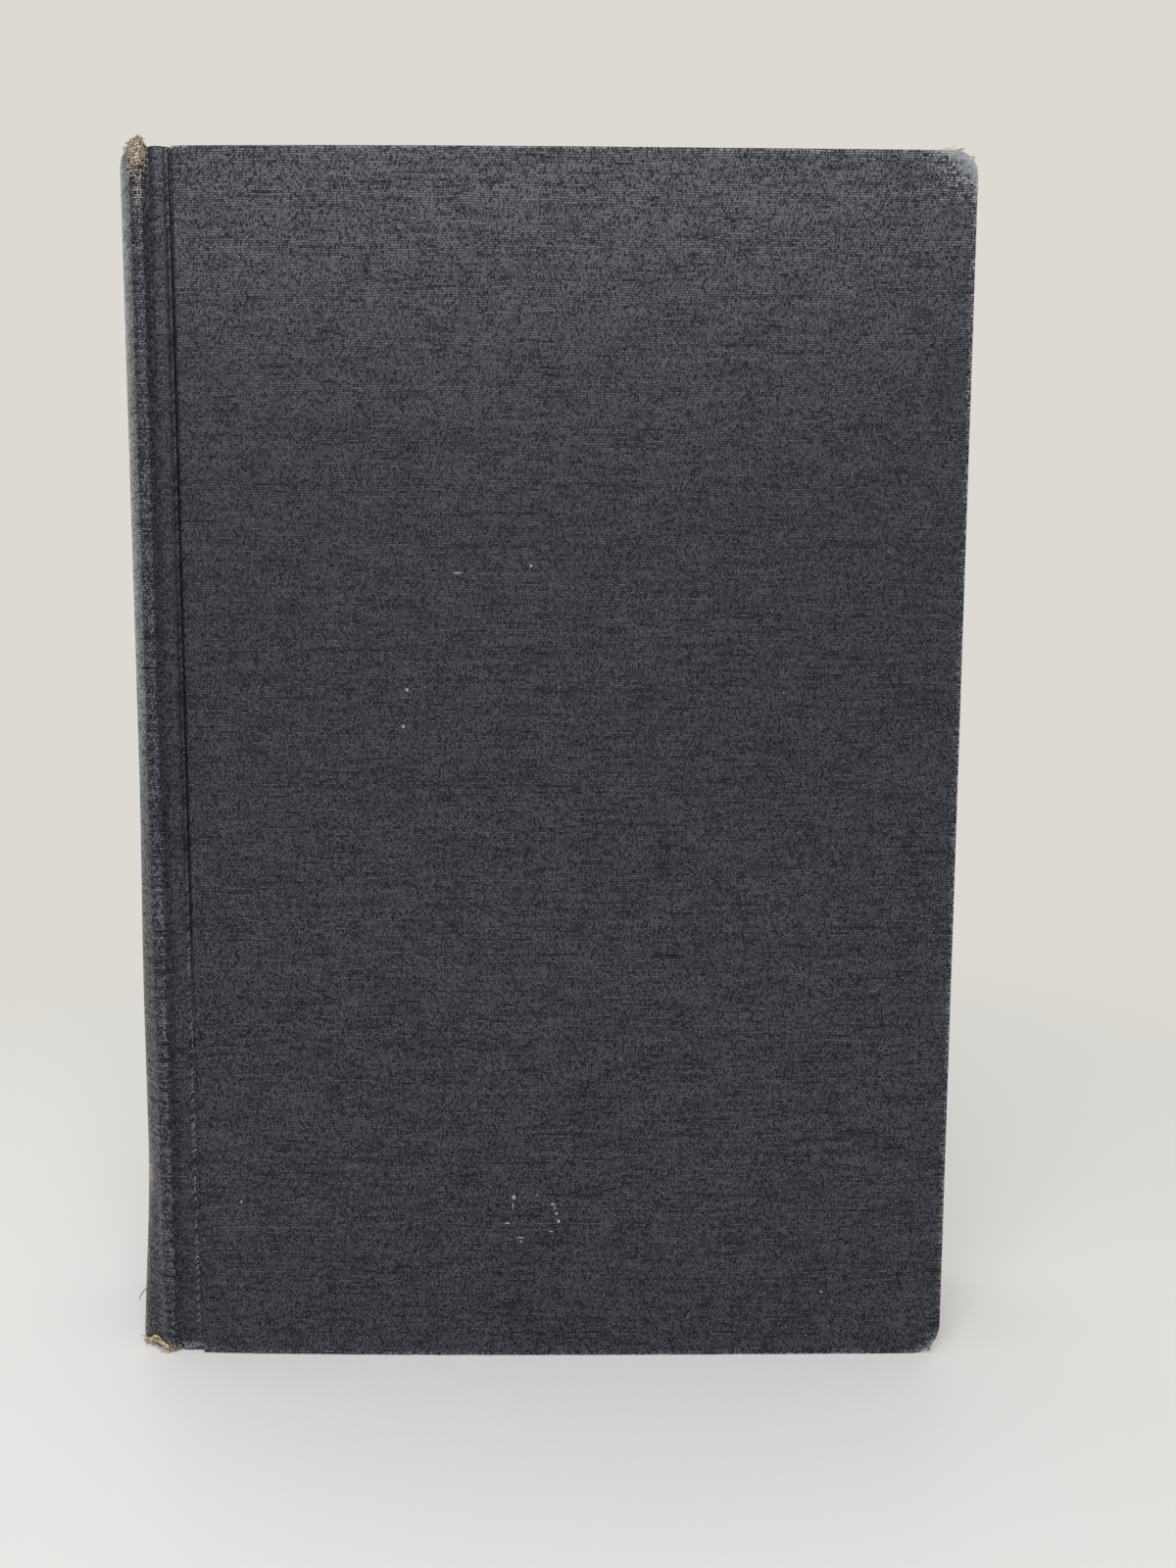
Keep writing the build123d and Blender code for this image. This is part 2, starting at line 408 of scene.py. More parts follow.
# %% [markdown]
# ## Paper, board and thread
# The colour of the leaves' edges comes from the leaf that each point belongs to: one-way clouds make single
# leaves, and a few together, darker or lighter, as in a block that has been thumbed. Plain papers and boards
# get a fibre cloud and a little relief. All of these are dull, so they have little shine.

# %% Papers, boards and threads


def leaf_paper():
    finish = Finish("leaf_paper")
    leaf = finish.value_on("leaf")
    place = finish.place_on("edge")
    one_leaf = finish.cloud(finish.join(finish.sum("MULTIPLY", leaf, 0.9), 0.0), 1.0, 3.0)
    few_leaves = finish.cloud(finish.join(finish.sum("MULTIPLY", leaf, 0.2), 7.0), 1.0, 2.0)
    line = finish.sum("MULTIPLY_ADD", few_leaves, 0.55, finish.sum("MULTIPLY", one_leaf, 0.45))
    stain = finish.cloud(place, 0.05, 4.0)
    colour = finish.blend(finish.ease(line, 0.36, 0.64), (0.47, 0.39, 0.27), (0.74, 0.66, 0.51))
    colour = finish.blend(finish.ease(stain, 0.5, 0.75, 0.0, 0.45), colour, (0.50, 0.38, 0.23))
    finish.relief(line, 0.12)
    return finish.coat(colour, 0.85, 0.2)


def plain_stock(name, light, dark, roughness=0.85, scale=900.0, rise=0.04):
    """Paper or board of one colour, with a cloud of fibres."""
    finish = Finish(name)
    place = finish.add("TexCoord", {}, output=3)
    fibre = finish.cloud(place, scale, 5.0)
    patch = finish.cloud(place, 18.0, 3.0)
    share = finish.sum("MULTIPLY_ADD", fibre, 0.6, finish.sum("MULTIPLY", patch, 0.4))
    finish.relief(fibre, rise)
    return finish.coat(finish.blend(finish.ease(share, 0.3, 0.7), dark, light), roughness, 0.2)


def open_gauze():
    finish = Finish("gauze")
    place = finish.stretch(finish.add("TexCoord", {}, output=3), 900.0, 900.0, 900.0)
    net = finish.add("TexBrick", {"Vector": place, "Scale": 1.0, "Mortar Size": 0.05}, output=1)
    colour = finish.blend(net, (0.70, 0.66, 0.56), (0.50, 0.44, 0.33))
    finish.relief(net, 0.05)
    return finish.coat(colour, 0.9, 0.2)


def sewn_thread(name, light, dark):
    """Thread of a band or a frayed edge, twisted light and dark."""
    finish = Finish(name)
    place = finish.add("TexCoord", {}, output=3)
    twist = finish.cloud(place, 1500.0, 3.0)
    finish.relief(twist, 0.05)
    return finish.coat(finish.blend(finish.ease(twist, 0.3, 0.7), dark, light), 0.8, 0.25)


leaf_finish = leaf_paper()
endpaper_finish = plain_stock("endpaper", (0.76, 0.70, 0.58), (0.68, 0.60, 0.46))
board_finish = plain_stock("grey_board", (0.37, 0.33, 0.28), (0.27, 0.24, 0.20), 0.9, 500.0)
card_finish = plain_stock("inlay_card", (0.42, 0.35, 0.26), (0.34, 0.27, 0.19), 0.9, 500.0)
lining_finish = plain_stock("lining_paper", (0.40, 0.29, 0.18), (0.31, 0.21, 0.13))
gauze_finish = open_gauze()
band_finish = sewn_thread("band_thread", (0.70, 0.64, 0.52), (0.50, 0.43, 0.32))
fray_finish = sewn_thread("frayed_thread", (0.46, 0.375, 0.265), (0.20, 0.155, 0.115))
hem_finish = sewn_thread("hem_thread", (0.66, 0.55, 0.37), (0.34, 0.23, 0.13))
dark_fray_finish = sewn_thread("dark_frayed_thread", (0.10, 0.085, 0.075), (0.03, 0.03, 0.034))
fleck_finish = plain_stock("pale_fleck", (0.46, 0.44, 0.38), (0.20, 0.19, 0.17))
print("materials:", [material.name for material in bpy.data.materials])

# %% [markdown]
# ## Covered boards
# A covered board is a flat slab with soft edges and two corners at the fore-edge that knocks have rounded.
# It starts as its outline, pulled to its thickness and bevelled all round, and is then sliced into small
# faces so that it can take the bow and carry values for wear. The slices lie closest by the edges, where the
# wear is. The same function makes the cloth's outside and the bare board within.

# %% Outline and slab of a board
corner_steps = 10
edge_margins = (0.25, 0.6, 1.2, 2.0, 3.2, 4.8, 7.0, 9.5, 12.0)
slice_step = 5.0


def board_outline(inset):
    """Points round a board, from the tail of its joint, round the fore-edge, to the head of its joint."""
    points = [(board_x + inset, inset)]
    corners = ((0.0, tail_corner_round, -90), (cover_height, head_corner_round, 0))
    for corner_z, corner_round, first in corners:
        middle_x, middle_z = fore_edge_x - corner_round, abs(corner_z - corner_round)
        for step in range(corner_steps + 1):
            turn = math.radians(first + 90 * step / corner_steps)
            reach = corner_round - inset
            points.append((middle_x + reach * math.cos(turn), middle_z + reach * math.sin(turn)))
    points.append((board_x + inset, cover_height - inset))
    return points


def slices(low, high, *more):
    """Places to slice between two ends: close by the ends, and a step apart between."""
    places = [low + margin for margin in edge_margins] + [high - margin for margin in edge_margins]
    start, stop = low + edge_margins[-1], high - edge_margins[-1]
    count = round((stop - start) / slice_step)
    places += [start + (stop - start) * i / count for i in range(1, count)]
    return sorted(set(places).union(more))


def cut(slab, place, direction):
    parts = slab.verts[:] + slab.edges[:] + slab.faces[:]
    bmesh.ops.bisect_plane(slab, geom=parts, dist=1e-4, plane_co=place, plane_no=direction)


def board_slab(inset, outer, inner, edge_round):
    """Slab of a board's outline between two depths, in x, depth and z, with rounded edges and sliced."""
    slab = bmesh.new()
    outline = board_outline(inset)
    rims = [[slab.verts.new((x, depth, z)) for x, z in outline] for depth in (outer, inner)]
    caps = [slab.faces.new(rim) for rim in rims]
    for i in range(len(outline)):
        slab.faces.new((rims[0][i - 1], rims[0][i], rims[1][i], rims[1][i - 1]))
    edges = {edge for face in caps for edge in face.edges}
    bmesh.ops.bevel(slab, geom=list(edges), offset=edge_round, segments=4, profile=0.5, affect="EDGES")
    for x in slices(board_x + inset, fore_edge_x - inset, fore_edge_x - turn_in):
        cut(slab, (x, 0, 0), (1, 0, 0))
    for z in slices(inset, cover_height - inset, turn_in, cover_height - turn_in):
        cut(slab, (0, 0, z), (0, 0, 1))
    return slab


print("points round a board:", len(board_outline(0.0)))

# %% [markdown]
# ## Cloth of the covers
# The cloth runs on from the board's edge into the groove, as one sheet. So the strip in the groove is pulled
# out of the board's joint edge, step by step along a section: a pinch beside the board, a flat floor where
# the case was pressed, and a crease at the foot of the shoulder. The inside of the board is stepped down
# inside the turn-ins, where the bare board shows before the endpaper goes on.

# %% The groove's section
groove_steps = (
    (0.25, 1.55), (0.50, 1.70), (0.80, 1.14), (1.10, 1.18), (1.45, 1.66), (1.80, 1.34), (2.3, 1.2),
    (3.1, 1.15), (3.8, 1.2), (4.2, 1.28), (4.5, 1.40), (4.8, 1.80),
)
pinch_run = 2.0
pinch_fade = (60.0, 110.0)
pinch_least = 0.1
pinch_lost_at_head = 0.6
bridge_rise = 0.6
bridge_start = cover_height - 32.0


def between(value, low, high):
    """Smooth share of the way from low to high, held at 0 and 1."""
    share = min(max((value - low) / (high - low), 0.0), 1.0)
    return share * share * (3 - 2 * share)


def bridge(x, z):
    """How far the cloth stands out of the groove at the head, where the turned-in edge holds it up."""
    share = min(max((x - ridge_x) / (board_x - ridge_x), 0.0), 1.0)
    return bridge_rise * math.sin(math.pi * share) * between(z, bridge_start, cover_height)


def pinch_share(z):
    """How much of the pinch is left at a height: little by the tail, and less than all at the head."""
    share = pinch_least + (1 - pinch_least) * between(z, *pinch_fade)
    return share - pinch_lost_at_head * between(z, bridge_start, cover_height)


def pull(slab, faces, way):
    """Pulls some faces out of a slab, or pushes them in, and gives the moved faces."""
    grown = bmesh.ops.extrude_face_region(slab, geom=faces)["geom"]
    bmesh.ops.delete(slab, geom=faces, context="FACES")
    points = [part for part in grown if isinstance(part, bmesh.types.BMVert)]
    bmesh.ops.translate(slab, verts=points, vec=way)
    return [part for part in grown if isinstance(part, bmesh.types.BMFace)]


def pull_groove(slab):
    """Pulls the groove's strip of cloth out of the slab's joint edge."""
    for depth in (groove_depth, groove_depth + cloth_thickness):
        cut(slab, (0, depth, 0), (0, 1, 0))

    def in_strip(face):
        middle = face.calc_center_median()
        return abs(middle.x - board_x) < 1e-3 and 0 < middle.y - groove_depth < cloth_thickness

    strip = [face for face in slab.faces if in_strip(face)]
    last_run, last_depth = 0.0, groove_depth
    for run, depth in groove_steps:
        strip = pull(slab, strip, (last_run - run, depth - last_depth, 0))
        last_run, last_depth = run, depth


def sink_window(slab):
    """Steps the inside of the slab down by the cloth's thickness, inside the turn-ins."""

    def in_window(face):
        middle = face.calc_center_median()
        inside = turn_in < middle.z < cover_height - turn_in and middle.x < fore_edge_x - turn_in
        return inside and abs(middle.y - wrap_thickness) < 1e-3

    window = [face for face in slab.faces if in_window(face)]
    for face in pull(slab, window, (0, -cloth_thickness, 0)):
        face.material_index = 1


print(f"groove: {len(groove_steps)} steps over {groove_steps[-1][0]:.1f} mm")

# %% Wear on a cover
thread_shift = {FRONT: 0.0, BACK: 1000.0}
edge_rub, edge_rub_width = 0.42, 0.8
line_rub, line_width = 0.42, 0.45
line_x = board_x - 1.1
worn_low = (110.0, 50.0)
rubbed_patches = {
    "head corner": (1.0, (fore_edge_x, cover_height), 8.0, 7.0),
    "tail corner": (0.5, (fore_edge_x, 0.0), 3.5, 3.5),
    "groove at the tail": (0.7, (board_x - 2.0, 1.0), 4.0, 0.9),
    "groove at the head": (0.5, (board_x, cover_height), 2.5, 1.0),
}
bare_rim_width = 0.45
bare_fore_edge = 0.25
bare_patches = {
    "head corner": (0.75, (fore_edge_x, cover_height), 9.0, 7.0),
    "tail corner": (0.4, (fore_edge_x - 1.8, 0.8), 2.0, 2.0),
}


def hill(x, z, middle, wide, tall):
    """Soft mound of 1 at a middle, falling away over a width and a height."""
    return math.exp(-(((x - middle[0]) / wide) ** 2) - ((z - middle[1]) / tall) ** 2)


def most_worn(patches, x, z):
    """The most that any of some patches, each a strength and a hill, wears a point."""
    return max(strength * hill(x, z, *shape) for strength, *shape in patches.values())


def rim_gap(x, depth, z):
    """How far a point lies in from a cover's outline, measured over its rounded edge."""
    gap = min(z, cover_height - z, fore_edge_x - x)
    for corner_z, corner_round in ((0.0, tail_corner_round), (cover_height, head_corner_round)):
        past_x = x - fore_edge_x + corner_round
        past_z = corner_round - abs(z - corner_z)
        if past_x > 0 and past_z > 0:
            gap = corner_round - math.hypot(past_x, past_z)
    return gap - min(depth, cover_edge_round)


def cover_rub(x, depth, z):
    """How much a point of a cover is rubbed: edges a little, corners more, the line by the joint in dots."""
    on_edge = 0.0
    if x > board_x - 0.2:
        on_edge = edge_rub * math.exp(-((rim_gap(x, depth, z) / edge_rub_width) ** 2))
    broken = 1 + 0.9 * noise.noise((0.0, 9.0, z * 0.13))
    line = line_rub * broken * hill(x, 0.0, (line_x, 0.0), line_width, 1.0)
    line *= 0.4 + 0.6 * between(z, *worn_low)
    return on_edge + max(most_worn(rubbed_patches, x, z), line)


def cover_bare(x, depth, z):
    """How much dye a point of a cover has lost: at the corners' edges, and a little by the fore-edge."""
    rim = math.exp(-((rim_gap(x, depth, z) / bare_rim_width) ** 2))
    fore = bare_fore_edge if x > fore_edge_x - 1.0 else 0.0
    return rim * max(most_worn(bare_patches, x, z), fore)


print(f"rub at the head corner: {cover_rub(fore_edge_x - 2.0, 0.0, cover_height - 2.0):.2f}")

# %% Case cloth of the covers


def case_cloth(side_name):
    side = SIDES[side_name]
    slab = board_slab(0.0, 0.0, wrap_thickness, cover_edge_round)
    sink_window(slab)
    pull_groove(slab)
    outer_depth = {round(run, 2): depth for run, depth in groove_steps}
    flat = [point.co.copy() for point in slab.verts]
    for point in slab.verts:
        x, depth, z = point.co
        if x < board_x - 0.1:
            inside = depth > outer_depth[round(board_x - x, 2)] + cloth_thickness / 2
            floor = groove_depth + (cloth_thickness if inside else 0.0)
            keep = pinch_share(z) if x > board_x - pinch_run else 1.0
            depth = floor + (depth - floor) * keep - bridge(x, z)
        if x < board_x + 2 * cover_edge_round and turn_in < z < cover_height - turn_in:
            depth = min(depth, wrap_thickness - cloth_thickness)
        point.co = on_cover(side, x, depth, z) * mm
    bmesh.ops.recalc_face_normals(slab, faces=slab.faces[:])
    mesh = bpy.data.meshes.new(f"{side_name}_case_cloth")
    slab.to_mesh(mesh)
    slab.free()
    shift = thread_shift[side]
    put_values(mesh, "thread", [(p.x + p.y + shift, p.z + p.y, 0.0) for p in flat])
    put_values(mesh, "rub", [cover_rub(*p) for p in flat])
    put_values(mesh, "bare", [cover_bare(*p) for p in flat])
    piece = add_piece(f"{side_name}_case_cloth", mesh, cloth_finish, board_finish)
    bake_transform(piece)
    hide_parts(f"{side_name}_cloth")


for side_name in SIDES:
    case_cloth(side_name)

# %% [markdown]
# ## Boards and gauze inside the covers
# The bare board can't be seen while the book is whole, but it is there, and it has to take the same bow as
# the cloth or it would cut through it. It is the same slab with less thickness. The gauze that ties the
# block to the board is a thin sheet on its inside, and sheets on a cover are a grid with two faces.

# %% Bare boards


def bare_board(side_name):
    slab = board_slab(cloth_thickness, cloth_thickness, wrap_thickness - cloth_thickness, 0.3)
    for point in slab.verts:
        point.co = on_cover(SIDES[side_name], *point.co) * mm
    bmesh.ops.recalc_face_normals(slab, faces=slab.faces[:])
    mesh = bpy.data.meshes.new(f"{side_name}_bare_board")
    slab.to_mesh(mesh)
    slab.free()
    piece = add_piece(f"{side_name}_bare_board", mesh, board_finish)
    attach(piece, f"{side_name}_cover")
    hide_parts(f"{side_name}_board")


for side_name in SIDES:
    bare_board(side_name)

# %% A thin sheet with two faces


def grid_faces(columns, rows, start=0):
    """Faces of a grid of points that were listed column by column."""
    faces = []
    for column in range(columns - 1):
        for row in range(rows - 1):
            corner = start + column * rows + row
            faces.append((corner, corner + rows, corner + rows + 1, corner + 1))
    return faces


def closed_sheet(outer, inner, columns, rows):
    """Points and faces of a sheet from the grids of its two faces, closed round its rim."""
    half = columns * rows
    faces = grid_faces(columns, rows)
    faces += [tuple(reversed(face)) for face in grid_faces(columns, rows, half)]
    rim = list(range(rows))
    rim += [column * rows + rows - 1 for column in range(1, columns)]
    rim += [(columns - 1) * rows + row for row in reversed(range(rows - 1))]
    rim += [column * rows for column in reversed(range(1, columns - 1))]
    for one, two in zip(rim, rim[1:] + rim[:1]):
        faces.append((one, two, two + half, one + half))
    return outer + inner, faces


def spaced(low, high, step):
    """Even places from low to high, no more than a step apart."""
    count = max(1, math.ceil((high - low) / step))
    return [low + (high - low) * i / count for i in range(count + 1)]


def cover_sheet(name, side_name, x_places, z_places, depth_at, thickness, finish):
    """Sheet on the inside of a cover, its face towards the leaves at a depth for each place."""
    side = SIDES[side_name]
    spots = [(x, z) for x in x_places for z in z_places]
    face = [on_cover(side, x, depth_at(x, z), z) for x, z in spots]
    under = [on_cover(side, x, depth_at(x, z) - thickness, z) for x, z in spots]
    points, faces = closed_sheet(face, under, len(x_places), len(z_places))
    return add_piece(name, mesh_of(name, points, faces), finish)


# %% Gauze on the boards
gauze_low, gauze_high = node_box("front_mull_flange")
gauze_face = gauze_high.y + half_depth
gauze_thickness = gauze_high.y - gauze_low.y
for side_name in SIDES:
    x_places = spaced(gauze_low.x, gauze_high.x, 4.0)
    z_places = spaced(gauze_low.z, gauze_high.z, 20.0)
    flange = cover_sheet(
        f"{side_name}_gauze_flange", side_name, x_places, z_places,
        lambda x, z: gauze_face, gauze_thickness, gauze_finish,
    )
    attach(flange, f"{side_name}_cover")
    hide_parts(f"{side_name}_mull_flange")

# %% [markdown]
# ## Endpapers
# One leaf of each endpaper is pasted down over the turn-ins and the gauze, which show through it as low
# steps, and it runs across the joint to its fold. A stiff sheet split at the hinge would gape when the cover
# opens, so the paper is one sheet that bends from the block to the cover. Its depth below the cover's face
# is a sum of what lies under it at each place.

# %% Pasted leaf of each endpaper
paste_low, paste_high = node_box("front_pastedown")
ramp = 1.2
bare_face = wrap_thickness - cloth_thickness + endpaper_thickness
fold_face = half_depth - block_half - endpaper_thickness


def paste_depth(x, z):
    """Depth of the pasted leaf's face: lifted by gauze and turn-ins, and out to the fold at the joint."""
    inwards = min(z, cover_height - z, fore_edge_x - x)
    on_turn_in = between(inwards, turn_in + ramp, turn_in)
    by_gauze = min(x - board_x, gauze_high.x - x)
    in_height = between(min(z - gauze_low.z, gauze_high.z - z), -ramp, 0.0)
    on_gauze = between(by_gauze, -ramp, 0.0) * in_height
    depth = bare_face + max(on_turn_in * cloth_thickness, on_gauze * gauze_thickness)
    at_fold = between(x, board_x + 1.0, shoulder_foot_x)
    return depth + (fold_face - depth) * at_fold


for side_name, side in SIDES.items():
    edge_x = paste_high.x
    x_places = spaced(shoulder_foot_x, board_x + 1.0, 0.4) + spaced(board_x + 1.8, edge_x - turn_in - 2, 4.0)
    x_places += spaced(edge_x - turn_in, edge_x - 9.5, 0.5) + spaced(edge_x - 8.0, edge_x, 2.0)
    z_ends = spaced(paste_low.z, turn_in - 1.5, 2.5) + spaced(turn_in - 0.5, turn_in + 2.0, 0.4)
    z_middle = spaced(turn_in + 4.0, cover_height - turn_in - 4.0, 6.0)
    z_places = z_ends + z_middle + [cover_height - z for z in reversed(z_ends)]
    leaf = cover_sheet(
        f"{side_name}_endpaper", side_name, x_places, z_places,
        paste_depth, endpaper_thickness, endpaper_finish,
    )
    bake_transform(leaf)
    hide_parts(f"{side_name}_pastedown")

# %% [markdown]
# ## Spine of the case
# Between the joints the cloth climbs a shoulder, runs over its ridge and goes round the spine, over a card
# that gives it its round. Its section is a path: straight runs joined by arcs, then the spine's own arc,
# then the same again mirrored. The path is copied at many heights, so that the tail can flare where the
# hollow spine has been pulled about, and the head can be ragged where fingers have hooked it off the shelf.

# %% Path round the spine


def rounded(corners, radius, steps):
    """Points along straight runs through some corners, with each inner corner turned into an arc."""
    path = [Vector(corners[0])]
    for before, corner, after in zip(corners, corners[1:], corners[2:]):
        corner = Vector(corner)
        back, on = (Vector(before) - corner).normalized(), (Vector(after) - corner).normalized()
        half_turn = back.angle(on) / 2
        reach = radius / math.tan(half_turn)
        middle = corner + (back + on).normalized() * (radius / math.sin(half_turn))
        first, last = corner + back * reach - middle, corner + on * reach - middle
        path += [middle + first.slerp(last, i / steps) * radius for i in range(steps + 1)]
    path.append(Vector(corners[-1]))
    return path


def half_spine_path():
    """Outer face of the spine cloth, from the front crease to the middle of the spine, as x and y."""
    ridge_turn = math.asin(ridge_half / case_radius)
    ease_turn = spine_edge_round * math.tan((math.pi / 2 - ridge_turn) / 2) / case_radius

    def on_arc(turn):
        return (spine_centre_x - case_radius * math.cos(turn), -case_radius * math.sin(turn))

    foot_y = -half_depth + groove_depth + 0.25
    foot = [(crease_x + 0.9, foot_y), (crease_x + 0.1, foot_y), (ridge_x - 0.3, -ridge_half)]
    ridge_end = (ridge_x - 0.9, -ridge_half)
    shoulder = rounded([*foot, ridge_end], ridge_round, 5)
    turn_over = [ridge_end, on_arc(ridge_turn), on_arc(ridge_turn - 2 * ease_turn)]
    edge = rounded(turn_over, spine_edge_round, 6)
    arc = [Vector(on_arc((ridge_turn - 2.1 * ease_turn) * (1 - i / 24))) for i in range(25)]
    return shoulder + edge[1:-1] + arc


half_path = half_spine_path()
spine_path = half_path + [Vector((p.x, -p.y)) for p in reversed(half_path[:-1])]
spine_run = [0.0]
for one, two in zip(spine_path, spine_path[1:]):
    spine_run.append(spine_run[-1] + (two - one).length)
print(f"spine path: {len(spine_path)} points, {spine_run[-1]:.1f} mm round")

# %% Flare and ragged ends of the spine
inlay_low, inlay_high = node_box("spine_inlay")
inlay_half = inlay_high.y
inlay_thickness = 0.5
ridge_run = next(run for run, p in zip(spine_run, spine_path) if p.x < ridge_x - 0.5)
flare_parts = ((0.5, 120.0, 70.0), (2.2, 42.0, -14.0))
flare_edges = (ridge_half - 0.4, ridge_half - 5.5)
ragged_head, ragged_tail = 5.0, 4.0
front_peak_rise, width_onwards, width_back = 1.7, 2.6, 0.9
back_peak_rise, back_peak_width = 0.6, 1.6


def flare(y, z):
    """How far the hollow spine stands out from its round: most at the tail."""
    low = sum(rise * between(z, start, full) for rise, start, full in flare_parts)
    return low * between(abs(y), *flare_edges)


def ragged(run, z):
    """How far an end of the spine cloth has risen or worn away at a place round the spine."""
    by_head = between(z, cover_height - ragged_head, cover_height)
    by_tail = between(z, ragged_tail, 0.0)
    uneven = noise.noise((run * 0.45, 3.0, 0.0)) * 0.45 + noise.noise((run * 1.7, 7.0, 0.0)) * 0.25
    past_ridge = run - ridge_run + 0.2
    width = width_onwards if past_ridge > 0 else width_back
    front_peak = front_peak_rise * math.exp(-((past_ridge / width) ** 2))
    past_back = run - (spine_run[-1] - ridge_run)
    back_peak = back_peak_rise * math.exp(-((past_back / back_peak_width) ** 2))
    return by_head * (front_peak + back_peak + uneven) + by_tail * abs(uneven) * 0.8


print(f"ridge at {ridge_run:.2f} mm from the crease, flare at the tail {flare(0.0, 0.0):.2f} mm")

# %% Case spine
end_round = 0.5


def spine_heights():
    """Heights of the spine's sections, close together by its ends."""
    ends = [0.0, 0.06, 0.17, 0.32, 0.5, 0.9, 1.5, 2.2, 3.0, 4.0, 5.2, 6.6, 8.2, 10.0, 12.5, 16.0]
    middle = spaced(21.0, cover_height - 21.0, 5.0)
    return ends + middle + [cover_height - z for z in reversed(ends)]


def spine_normals():
    """Outward direction at each point of the spine's path."""
    count = len(spine_path)
    normals = []
    for i in range(count):
        along = spine_path[min(i + 1, count - 1)] - spine_path[max(i - 1, 0)]
        normals.append(Vector((along.y, -along.x)).normalized() * -1)
    return normals


spine_out = spine_normals()
front_ridge_bare = {
    "thread at the head": (0.55, (0.6, cover_height), 1.2, 11.0),
    "tail": (0.8, (0.0, 0.0), 2.5, 1.8),
    "tan spot": (1.2, (7.8, 36.8), 2.2, 1.9),
    "crack": (0.8, (9.6, 44.0), 0.8, 6.0),
    "foot of the crack": (0.75, (9.6, 22.0), 0.8, 9.0),
}
back_ridge_bare = {
    "head": (0.6, (0.0, cover_height), 2.2, 2.5),
    "tail": (0.6, (0.0, 0.0), 2.5, 1.6),
}
dotted_lines = ((1.0, 3.0, 0.45), (0.5, 0.1, 0.35))
dotted_low = (130.0, 50.0)


def spine_bare(run, z):
    """Dye lost at the ends of the spine: down to the tan thread at the ridges."""
    front, back = run - ridge_run, spine_run[-1] - run - ridge_run
    head = cover_height - z
    hooked = 0.95 * math.exp(-(((front - 1.1) / 3.0) ** 4) - (head / 5.2) ** 2)
    ends = 0.45 * math.exp(-((min(head, z) / 0.7) ** 2))
    return max(hooked, ends, most_worn(front_ridge_bare, front, z), most_worn(back_ridge_bare, back, z))


def spine_rub(run, z):
    """Rubbing along the ridges and the spine's ends, with dotted lines that show more lower down."""
    from_ridge = min(run, spine_run[-1] - run) - ridge_run
    ridges = 0.2 * math.exp(-(((from_ridge - 1.0) / 1.6) ** 2))
    dots = 0.0
    for strength, place, width in dotted_lines:
        dots += strength * math.exp(-(((from_ridge - place) / width) ** 2))
    ends = 0.5 * math.exp(-((min(z, cover_height - z) / 1.2) ** 2))
    broken = 1 + 0.8 * noise.noise((0.0, 5.0, z * 0.11))
    return ridges + ends + dots * broken * (0.16 + 0.26 * between(z, *dotted_low))


def spine_case():
    heights = spine_heights()
    outer, inner, thread, rub, bare = [], [], [], [], []
    for point, out, run in zip(spine_path, spine_out, spine_run):
        stack = inlay_thickness + cloth_thickness
        thickness = cloth_thickness + stack * between(abs(point.y), inlay_half + 0.3, inlay_half - 0.8)
        for z in heights:
            rounding = end_round * thickness
            near = min(z, cover_height - z)
            share = max(0.0, 1 - near / rounding)
            drawn = rounding * (1 - math.sqrt(1 - share * share))
            away = flare(point.y, z) + bridge(point.x, z)
            lifted = min(max(z + ragged(run, z), 0.0), cover_height + 2.5)
            outside = point + out * (away - drawn)
            inside = point + out * (away - thickness + drawn)
            outer.append((outside.x, outside.y, lifted))
            inner.append((inside.x, inside.y, lifted))
            thread.append((run - 1000.0, z, 0.0))
            rub.append(spine_rub(run, z))
            bare.append(spine_bare(run, z))
    points, faces = closed_sheet(outer, inner, len(spine_path), len(heights))
    mesh = mesh_of("spine_case_cloth", points, faces)
    put_values(mesh, "thread", thread * 2)
    put_values(mesh, "rub", rub * 2)
    put_values(mesh, "bare", bare * 2)
    piece = add_piece("spine_case_cloth", mesh, cloth_finish)
    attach(piece, "block")
    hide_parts("spine_cloth")


spine_case()

# %% Card in the spine


def spine_card():
    heights = spaced(inlay_low.z, inlay_high.z, 6.0)
    inlay_radius = case_radius - cloth_thickness
    widest = math.asin(inlay_half / inlay_radius)
    turns = [widest * (i / 12 - 1) for i in range(25)]
    grids = []
    for radius in (inlay_radius, inlay_radius - inlay_thickness):
        grid = []
        for turn in turns:
            for z in heights:
                reach = radius + flare(radius * math.sin(turn), z)
                grid.append((spine_centre_x - reach * math.cos(turn), reach * math.sin(turn), z))
        grids.append(grid)
    points, faces = closed_sheet(*grids, len(turns), len(heights))
    piece = add_piece("spine_card", mesh_of("spine_card", points, faces), card_finish)
    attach(piece, "block")
    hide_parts("spine_inlay")


spine_card()

# %% [markdown]
# ## Leaves
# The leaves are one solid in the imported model, and a flat-sided solid reads as wood. Here the block is a
# stack of thin groups, each a hair taller or shorter than its neighbours and cut a hair nearer or further,
# so that all three cut edges catch the light in lines. The groups fan out over the shoulders at the spine
# and follow the hollow of the fore-edge.

# %% The block's shape
fore_edge_hollow = 4.5
leaf_groups = 96
groups_in_section = 8
leaves = 320
hollow_radius = (block_half**2 + fore_edge_hollow**2) / (2 * fore_edge_hollow)


